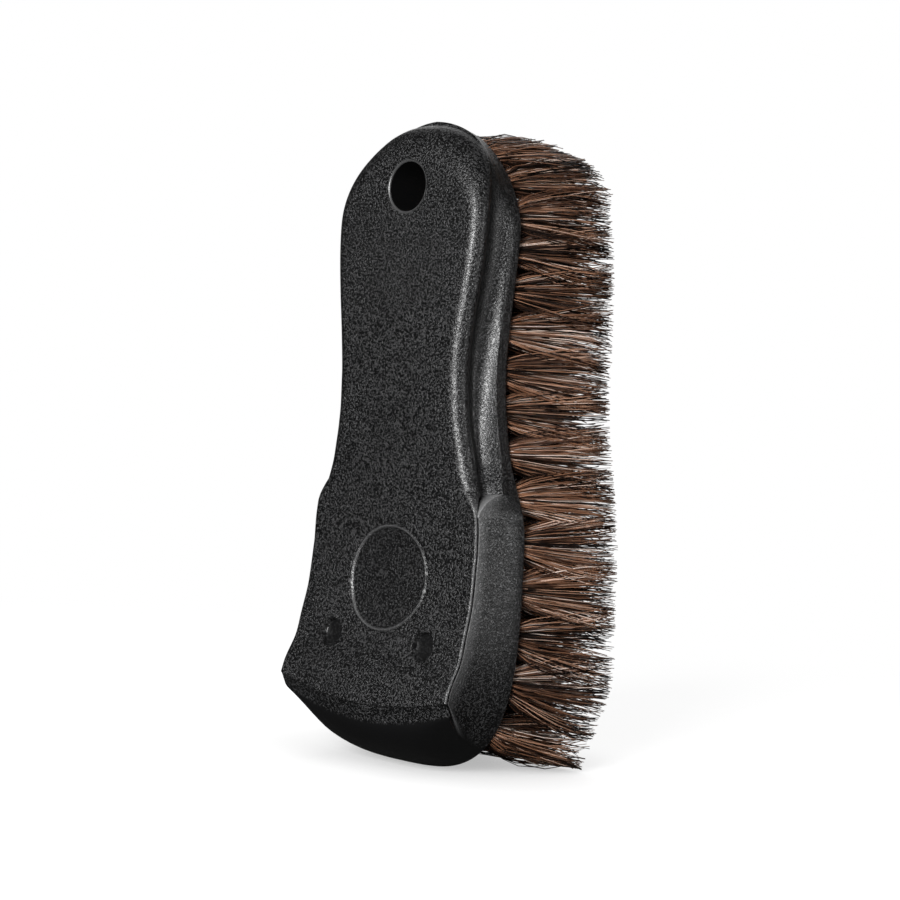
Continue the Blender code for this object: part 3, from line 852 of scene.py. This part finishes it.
def hang_hole(bm):
    back = -grip_thickness
    wide = hang_hole_radius + hang_hole_round + overrun / 2
    profile = [(back - overrun, wide)]
    for end, sign in ((back, 1), (0.0, -1)):
        arc = []
        for step in range(1, bore_round_steps + 1):
            angle = math.pi / 2 * step / bore_round_steps
            depth = hang_hole_round * (1 - math.cos(angle))
            arc.append((end + sign * depth, hang_hole_radius + hang_hole_round * (1 - math.sin(angle))))
        profile += arc if sign > 0 else arc[::-1]
    profile.append((overrun, wide))
    close_rings(bm, [ring(bm, Vector((0.0, y, hang_hole_height)), radius, bore_sides)
                     for y, radius in profile])


def tuft_holes(bm):
    for tuft in tufts():
        close_rings(bm, [ring(bm, tuft.centre(y), hole_radius, hole_sides)
                         for y in (-hole_depth, overrun)])


def root_edge_half_width(z):
    return face_half_width(z) - hole_radius - edge_wall


def lean_at(z):
    """How far the tips of the hair rooted at height z stand beyond it, towards the near end."""
    if z > upright_height:
        share = (z - upright_height) / (face_end_height - end_tuft_inset - upright_height)
        return grip_end_lean * min(share, 1.0) ** lean_power
    return -head_end_lean * ((upright_height - z) / upright_height) ** lean_power


def row_shares(columns):
    """Places of a row's tips across the tip outline, each tuft with an equal cell."""
    return [(2 * column + 1) / columns - 1 for column in range(columns)]


class Tuft:
    """One tuft: its name, where it is rooted and where its middle hair ends."""

    def __init__(self, name, x, z, share):
        self.name = name
        self.x = x
        self.z = z
        self.tip_z = z + lean_at(z)
        self.tip_x = share * tip_outline(self.tip_z)
        self.reach_x = 0.0
        self.reach_z = 0.0

    def centre(self, y):
        share = y / hair_length
        return Vector((mix(self.x, self.tip_x, share), y, mix(self.z, self.tip_z, share)))


def row_heights():
    """Heights of the rows, evenly wider spaced from the grip end down to the head end."""
    gaps = len(row_columns) - 1
    pitches = [mix(1.0, row_pitch_growth, math.sqrt(gap / (gaps - 1))) for gap in range(gaps)]
    top = face_end_height - top_row_inset
    return [mix(top, foot_row_height, sum(pitches[:row]) / sum(pitches)) for row in range(gaps + 1)]


def tufts():
    """Every tuft: the end tufts, then row by row, with every second column half a row lower."""
    made = []
    end_places = ((-end_tuft_offset, end_tuft_inset), (0.0, end_middle_tuft_inset),
                  (end_tuft_offset, end_tuft_inset))
    for number, (x, inset) in enumerate(end_places):
        share = end_tip_share * (number - 1)
        made.append(Tuft(f"tuft_end_{number + 1}", x, face_end_height - inset, share))
    heights = row_heights()
    for row, columns in enumerate(row_columns):
        shares = row_shares(max(columns, narrow_columns))
        if columns < narrow_columns:
            shares = (shares[0], shares[-1])
        for column, share in enumerate(shares):
            z = heights[row]
            if min(column, columns - 1 - column) == 1 and row < len(heights) - 1:
                z = (z + heights[row + 1]) / 2
            edge = root_edge_half_width(z)
            x = mix(-edge, edge, column / (columns - 1))
            made.append(Tuft(f"tuft_{row + 1:02d}_{column + 1}", x, z, share))
    for tuft in made:
        set_reach(tuft, made)
    return made


def set_reach(tuft, made):
    """Give the tuft a cell at the tips that stops short of its neighbours' cells."""
    tuft.reach_x = tip_outline(tuft.tip_z) - abs(tuft.tip_x) + tip_gap / 2
    tuft.reach_z = min(block_length + tip_overhang - tuft.tip_z, tuft.tip_z) + tip_gap / 2
    for other in made:
        sideways = abs(other.tip_x - tuft.tip_x)
        lengthwise = abs(other.tip_z - tuft.tip_z)
        if sideways > lengthwise:
            tuft.reach_x = min(tuft.reach_x, sideways / 2)
        elif other is not tuft:
            tuft.reach_z = min(tuft.reach_z, lengthwise / 2)
    tuft.reach_x -= tip_gap / 2
    tuft.reach_z -= tip_gap / 2


def add_values(mesh, name, values):
    mesh.attributes.new(name, "FLOAT", "POINT").data.foreach_set("value", values.ravel())


def add_piece(name, mesh, finish, slot, *nodes):
    mesh.transform(Matrix.Translation((0.0, face_y, 0.0)))
    piece = new_object(name, mesh)
    mesh.materials.clear()
    mesh.materials.append(finish)
    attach(piece, "root")
    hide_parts(*nodes)
    return piece


def finish_hole(mesh):
    """Leave the hang hole's bore smooth, its dark polished colour a painted shade, and give its rounded
    rim a painted highlight.
    """
    places = np.array([tuple(vert.co) for vert in mesh.vertices])
    reach = np.hypot(places[:, 0], places[:, 2] - hang_hole_height)
    bore = reach < hang_hole_radius + rim_margin
    rim = (reach < hang_hole_radius + hang_hole_round + rim_margin) & ~bore
    for name, on_rim in (("grain", 0.0), ("painted_highlight", rim_highlight_share)):
        values = mesh.attributes[name].data
        for index in np.flatnonzero(bore | rim):
            values[index].value = on_rim if rim[index] else 0.0


def make_block(finish):
    rows, grain, painted_highlight = block_grid()
    count, columns = rows.shape[:2]
    mesh = bpy.data.meshes.new("handle_block_skin")
    mesh.from_pydata(rows.reshape(-1, 3), [], grid_quads(count, columns))
    add_values(mesh, "grain", grain)
    add_values(mesh, "painted_highlight", painted_highlight)
    bm = bmesh.new()
    bm.from_mesh(mesh)
    bm.verts.ensure_lookup_table()
    first = [row * columns for row in range(count)]
    last = [row * columns + columns - 1 for row in range(count - 2, 0, -1)]
    bm.faces.new([bm.verts[index] for index in first + last])
    bmesh.ops.remove_doubles(bm, verts=bm.verts, dist=weld_distance)
    bmesh.ops.recalc_face_normals(bm, faces=bm.faces)
    bm.to_mesh(mesh)
    bm.free()
    block = new_object("cutting", mesh)
    cut(block, "hang_hole", hang_hole)
    cut(block, "tuft_holes", tuft_holes)
    bpy.data.objects.remove(block, do_unlink=True)
    finish_hole(mesh)
    mesh.shade_smooth()
    mesh.set_sharp_from_angle(angle=sharp_turn)
    return add_piece("handle_block_skin", mesh, finish, "handle_block", "handle_block")


def trimmed(end, rng):
    """Tip places drawn back inside the outline that the brush is trimmed to."""
    count = len(end)
    limit = np.array([tip_outline(min(max(z, tip_foot_height), tip_end_height)) for z in end[:, 1]])
    limit -= rng.uniform(0, 1, count) ** 2 * trim_play
    x = np.clip(end[:, 0], -limit, limit)
    beyond = np.maximum(end[:, 1] - tip_end_height, 0)
    over = (np.abs(end[:, 0]) / trim_end_half_width) ** trim_fullness
    over = (over + (beyond / trim_end_reach) ** trim_fullness) ** (1 / trim_fullness)
    over = np.maximum(over * rng.uniform(1, 1 + trim_end_play_share, count), 1)
    x = np.where(beyond > 0, end[:, 0] / over, x)
    z = np.where(beyond > 0, tip_end_height + beyond / over, end[:, 1])
    return np.stack([x, z], axis=1)


def hair_paths(tuft, rng):
    """Middle lines of a tuft's hairs, one row of points each, and the tone of each hair.

    Hairs gather in wisps, rooted in a disc. A few stray, and some early ones spread low down and are
    darkened, a painted shade in the gaps between the tufts near their roots.
    """
    inner = abs(tuft.x) < root_edge_half_width(tuft.z) - inner_margin
    count = inner_hairs if inner else outer_hairs
    wisps = wisp_rows * wisp_rows
    wisp = rng.integers(0, wisps, count)
    cells = np.stack(np.divmod(np.arange(wisps), wisp_rows), axis=1)
    spots = (cells + rng.uniform(*wisp_place_shares, (wisps, 2))) * 2 / wisp_rows - 1
    square = np.clip(spots[wisp] + rng.normal(0, wisp_width_share, (count, 2)), -1, 1)
    long_side = np.abs(square).max(axis=1, keepdims=True)
    disc = square * long_side / np.maximum(np.hypot(*square.T)[:, None], least_share)
    start = np.array([tuft.x, tuft.z]) + disc * root_radius * root_fill_share
    stray = rng.uniform(0, 1, count) < stray_share
    early = (rng.uniform(0, 1, count) < early_share) & ~stray
    loose = np.where(stray, stray_looseness, looseness)[:, None]
    spread = np.array([tuft.reach_x, tuft.reach_z]) + hair_overlap
    end = np.array([tuft.tip_x, tuft.tip_z]) + square * spread
    end = trimmed(end + rng.normal(0, 1, (count, 2)) * loose, rng)
    height = hair_length - rng.uniform(0, 1, count) ** 3 * length_loss
    height -= np.where(stray, rng.uniform(0, 1, count) * stray_length_loss, 0)
    raised = min(max((tuft.tip_z - spiky_height) / (block_length - spiky_height), 0), 1)
    short = rng.uniform(0, 1, count) ** 2 * spiky_loss_share * raised
    height -= short * hair_length
    end[:, 1] = np.maximum(end[:, 1] + short * spike_rise, hair_foot)
    share = np.linspace(0, 1, hair_segments + 1)[None, :, None]
    bow = rng.normal(0, 1, (wisps, 1, 2))[wisp] + rng.normal(0, own_curl_share, (count, 1, 2))
    wave = rng.normal(0, 1, (count, 1, 2)) * hair_wave
    phase = rng.uniform(0, 2 * np.pi, (count, 1, 1))
    speed = np.where(early, early_speed, inner_speed if inner else outer_speed)[:, None, None]
    plan = start[:, None, :] + (end - start)[:, None, :] * share ** speed
    plan = plan + bow * hair_curl * 4 * share * (1 - share) * share
    plan = plan + wave * np.sin(phase + share * wave_turn) * share
    rise = hair_start + (height[:, None] - hair_start) * share[:, :, 0]
    paths = np.stack([plan[:, :, 0], rise, np.maximum(plan[:, :, 1], floor_gap)], axis=2)
    tones = mix(rng.uniform(0, 1, wisps)[wisp], rng.uniform(0, 1, count), 1 - wisp_tone_share)
    tones = np.clip((tones - 0.5) * tone_contrast + middle_tone, 0, 1)
    # The early hairs' darker tone is painted shade near the roots
    return paths, np.where(early, tones * early_shade_share, tones)


def tube_mesh(name, paths, radii, tones):
    """Thin pointed tubes along the paths, as one mesh with a tone for each."""
    count, rings = paths.shape[:2]
    along = np.gradient(paths, axis=1)
    along /= np.linalg.norm(along, axis=2, keepdims=True)
    side = np.cross(along, (0.0, 0.0, 1.0))
    side /= np.linalg.norm(side, axis=2, keepdims=True)
    other = np.cross(along, side)
    angles = 2 * np.pi * np.arange(hair_sides) / hair_sides
    taper = 1 - np.linspace(0, 1, rings) ** taper_power * taper_share
    radius = radii[:, None, None, None] * taper[None, :, None, None]
    round_x = np.cos(angles)[None, None, :, None]
    round_y = np.sin(angles)[None, None, :, None]
    ring = paths[:, :, None] + radius * (side[:, :, None] * round_x + other[:, :, None] * round_y)
    verts = ring.reshape(-1, 3)
    base = (np.arange(count) * rings * hair_sides)[:, None, None]
    ring_start = (np.arange(rings - 1) * hair_sides)[None, :, None]
    corner = np.arange(hair_sides)[None, None, :]
    after = (corner + 1) % hair_sides
    lower = base + ring_start
    quads = np.stack([lower + corner, lower + after, lower + hair_sides + after,
                      lower + hair_sides + corner], axis=3).reshape(-1, 4)
    ends = []
    bases = base[:, 0, 0]
    for start in bases:
        ends.append(tuple(start + index for index in reversed(range(hair_sides))))
        top = start + (rings - 1) * hair_sides
        ends.append(tuple(top + index for index in range(hair_sides)))
    mesh = bpy.data.meshes.new(name)
    mesh.from_pydata(verts, [], quads.tolist() + ends)
    add_values(mesh, "tone", np.repeat(tones, rings * hair_sides))
    mesh.shade_smooth()
    return mesh


def make_hair(finish):
    for number, tuft in enumerate(tufts()):
        rng = np.random.default_rng(hair_seed + number)
        paths, tones = hair_paths(tuft, rng)
        radii = hair_radius * rng.uniform(*hair_radius_shares, len(paths))
        mesh = tube_mesh(f"{tuft.name}_hair", paths, radii, tones)
        add_piece(f"{tuft.name}_hair", mesh, finish, tuft.name, tuft.name)


def new_material(name):
    made = bpy.data.materials.new(name)
    made.use_nodes = True
    tree = made.node_tree
    return made, tree, tree.nodes["Principled BSDF"]


def join(tree, made, sockets):
    """Set each named or numbered socket of a node to a value, or link it to another's output."""
    for name, value in sockets.items():
        if isinstance(value, bpy.types.NodeSocket):
            tree.links.new(value, made.inputs[name])
        else:
            made.inputs[name].default_value = value


def node(tree, kind, sockets=(), output=0, **settings):
    """Make a shader node and give back the output that is wanted from it."""
    made = tree.nodes.new(kind)
    for name, value in settings.items():
        setattr(made, name, value)
    join(tree, made, dict(sockets))
    return made.outputs[output]


def attribute(tree, name):
    return node(tree, "ShaderNodeAttribute", output="Fac", attribute_name=name)


def mixed_colour(tree, share, first, second, blend="MIX"):
    sockets = {"Factor": share, 6: first, 7: second}
    return node(tree, "ShaderNodeMix", sockets, 2, data_type="RGBA", blend_type=blend)


def ramp(tree, source, stops):
    made = tree.nodes.new("ShaderNodeValToRGB")
    elements = made.color_ramp.elements
    while len(elements) < len(stops):
        elements.new(0.5)
    for element, (place, colour) in zip(elements, stops):
        element.position = place
        element.color = (*colour, 1.0)
    tree.links.new(source, made.inputs["Fac"])
    return made.outputs["Color"]


def plastic_material():
    """Black moulded plastic: pebbled, with painted glints on the crests and painted shade in the pits;
    smooth and dark where the mould is polished, a painted shade in the bore and dimples; painted
    highlights on the slit's lips, the arch's edge, the ring and the hole's rim.
    """
    made, tree, shader = new_material("pebbled_black_plastic")
    place = node(tree, "ShaderNodeTexCoord", output="Object")
    grain = attribute(tree, "grain")
    pebble = node(tree, "ShaderNodeTexNoise", {"Vector": place, "Scale": pebble_scale, "Detail": 1.0,
                                               "Roughness": 0.5, "Distortion": 0.6}, "Fac")
    crest = node(tree, "ShaderNodeMapRange", {"Value": pebble, "From Min": pebble_foot,
                                              "From Max": pebble_top}, interpolation_type="SMOOTHSTEP")
    height = node(tree, "ShaderNodeMath", {0: crest, 1: grain}, operation="MULTIPLY")
    relief = node(tree, "ShaderNodeBump", {"Height": height, "Strength": 1.0, "Distance": pebble_height})
    # Grain colour with painted shade in the pits and painted glints on the crests; where the grain is
    # missing, the dark polished colour, a painted shade in the bore and dimples
    grain_glint_and_shade = mixed_colour(tree, grain, polished_and_shade_colour, ramp(tree, crest, pebble_shade_and_glint_tones))
    cloud = node(tree, "ShaderNodeTexNoise", {"Vector": place, "Scale": patch_scale, "Detail": 4.0,
                                              "Roughness": 0.6}, "Fac")
    patchy = mixed_colour(tree, 1.0, grain_glint_and_shade, ramp(tree, cloud, patch_tones), "MULTIPLY")
    # Painted highlights on the slit's lips, the arch's edge, the ring and the hole's rim
    colour = mixed_colour(tree, attribute(tree, "painted_highlight"), patchy, painted_highlight_colour)
    roughness = node(tree, "ShaderNodeMapRange", {"Value": height, "To Min": pit_roughness,
                                                  "To Max": crest_roughness})
    join(tree, shader, {"Base Color": colour, "Normal": relief, "Roughness": roughness,
                        "Specular IOR Level": plastic_shine})
    return made


def hair_material():
    """Mixed brown horsehair: every hair has its own tone, a little uneven along its length."""
    made, tree, shader = new_material("mixed_horsehair")
    place = node(tree, "ShaderNodeTexCoord", output="Object")
    uneven = node(tree, "ShaderNodeTexNoise", {"Vector": place, "Scale": uneven_scale, "Detail": 2.0},
                  "Fac")
    tone = node(tree, "ShaderNodeMath", {0: uneven, 1: tone_unevenness, 2: attribute(tree, "tone")},
                operation="MULTIPLY_ADD")
    tone = node(tree, "ShaderNodeMath", {0: tone, 1: tone_unevenness / 2}, operation="SUBTRACT")
    shine = node(tree, "ShaderNodeMapRange", {"Value": tone, "To Min": dark_hair_shine,
                                              "To Max": pale_hair_shine})
    join(tree, shader, {"Base Color": ramp(tree, tone, hair_tones), "Specular IOR Level": shine,
                        "Roughness": hair_roughness})
    return made


def camera_only(tree, seen, lit, output):
    """Show one shader to the camera and give another one to the light."""
    to_camera = node(tree, "ShaderNodeLightPath", output="Is Camera Ray")
    mixed = node(tree, "ShaderNodeMixShader", {"Fac": to_camera, 1: lit, 2: seen})
    tree.links.new(mixed, output.inputs["Surface"])


def floor_material():
    """White, with a contact shadow near the brush that fades to plain white further off."""
    made, tree, shader = new_material("white_floor")
    join(tree, shader, {"Base Color": near_floor_colour, "Roughness": 1.0, "Specular IOR Level": 0.0})
    open_share = node(tree, "ShaderNodeAmbientOcclusion", {"Distance": contact_reach}, "AO", samples=4)
    strength = node(tree, "ShaderNodeMath", {0: open_share, 1: contact_glow, 2: floor_glow},
                    operation="MULTIPLY_ADD")
    glow = node(tree, "ShaderNodeEmission", {"Strength": strength})
    near = node(tree, "ShaderNodeAddShader", {0: shader.outputs[0], 1: glow})
    white = node(tree, "ShaderNodeEmission", {"Strength": 1.0})
    place = node(tree, "ShaderNodeTexCoord", output="Object")
    reach = node(tree, "ShaderNodeVectorMath", {0: place}, "Value", operation="LENGTH")
    far = node(tree, "ShaderNodeMapRange", {"Value": reach, "From Min": shadow_reach / 2,
                                            "From Max": shadow_reach}, interpolation_type="SMOOTHSTEP")
    seen = node(tree, "ShaderNodeMixShader", {"Fac": far, 1: near, 2: white})
    lit = node(tree, "ShaderNodeBsdfDiffuse", {"Color": lit_floor_colour})
    camera_only(tree, seen, lit, tree.nodes["Material Output"])
    return made


def make_floor():
    bm = bmesh.new()
    bmesh.ops.create_grid(bm, x_segments=2, y_segments=2, size=floor_size / 2)
    mesh = bpy.data.meshes.new("floor")
    bm.to_mesh(mesh)
    bm.free()
    mesh.materials.append(floor_material())
    floor = new_object("floor", mesh)


def make_world():
    """White to the camera, and a faint even fill for everything else."""
    world = bpy.data.worlds.new("studio")
    bpy.context.scene.world = world
    world.use_nodes = True
    tree = world.node_tree
    tree.nodes.clear()
    output = tree.nodes.new("ShaderNodeOutputWorld")
    white = (1.0, 1.0, 1.0, 1.0)
    seen = node(tree, "ShaderNodeBackground", {"Strength": 1.0, "Color": white})
    lit = node(tree, "ShaderNodeBackground", {"Strength": fill_strength, "Color": white})
    camera_only(tree, seen, lit, output)


def add_lamp(name, azimuth, elevation, distance, size, power):
    """A soft box that faces the middle of the brush, at angles from its back and from level."""
    middle = Vector((0.0, 0.0, block_length / 2))
    turn, lift = math.radians(azimuth), math.radians(elevation)
    away = Vector((math.sin(turn) * math.cos(lift), -math.cos(turn) * math.cos(lift),
                   math.sin(lift)))
    lamp = bpy.data.lights.new(name, "AREA")
    lamp.shape = "RECTANGLE"
    lamp.size, lamp.size_y = size
    lamp.energy = power
    made = new_object(name, lamp)
    made.location = middle + away * distance
    made.rotation_euler = (-away).to_track_quat("-Z", "Y").to_euler()


def make_lamps():
    add_lamp("key", azimuth=22, elevation=5, distance=0.8, size=(0.3, 0.65), power=14.0)
    add_lamp("side", azimuth=104, elevation=0, distance=0.8, size=(0.3, 0.6), power=1.8)
    add_lamp("rear", azimuth=215, elevation=30, distance=1.2, size=(0.8, 0.8), power=2.0)


def make_camera():
    camera = bpy.data.cameras.new("camera")
    camera.lens = camera_lens
    camera.clip_start = camera_clip
    made = new_object("camera", camera)
    forward = camera_forward.normalized()
    right = forward.cross(camera_up).normalized()
    up = right.cross(forward)
    turn = Matrix((right, up, -forward)).transposed().to_4x4()
    made.matrix_world = Matrix.Translation(camera_place + Vector((0.0, face_y, 0.0))) @ turn
    bpy.context.scene.camera = made


def main():
    make_camera()
    make_block(plastic_material())
    make_hair(hair_material())
    make_floor()
    make_world()
    make_lamps()
    bpy.context.scene.view_settings.view_transform = "Standard"


main()
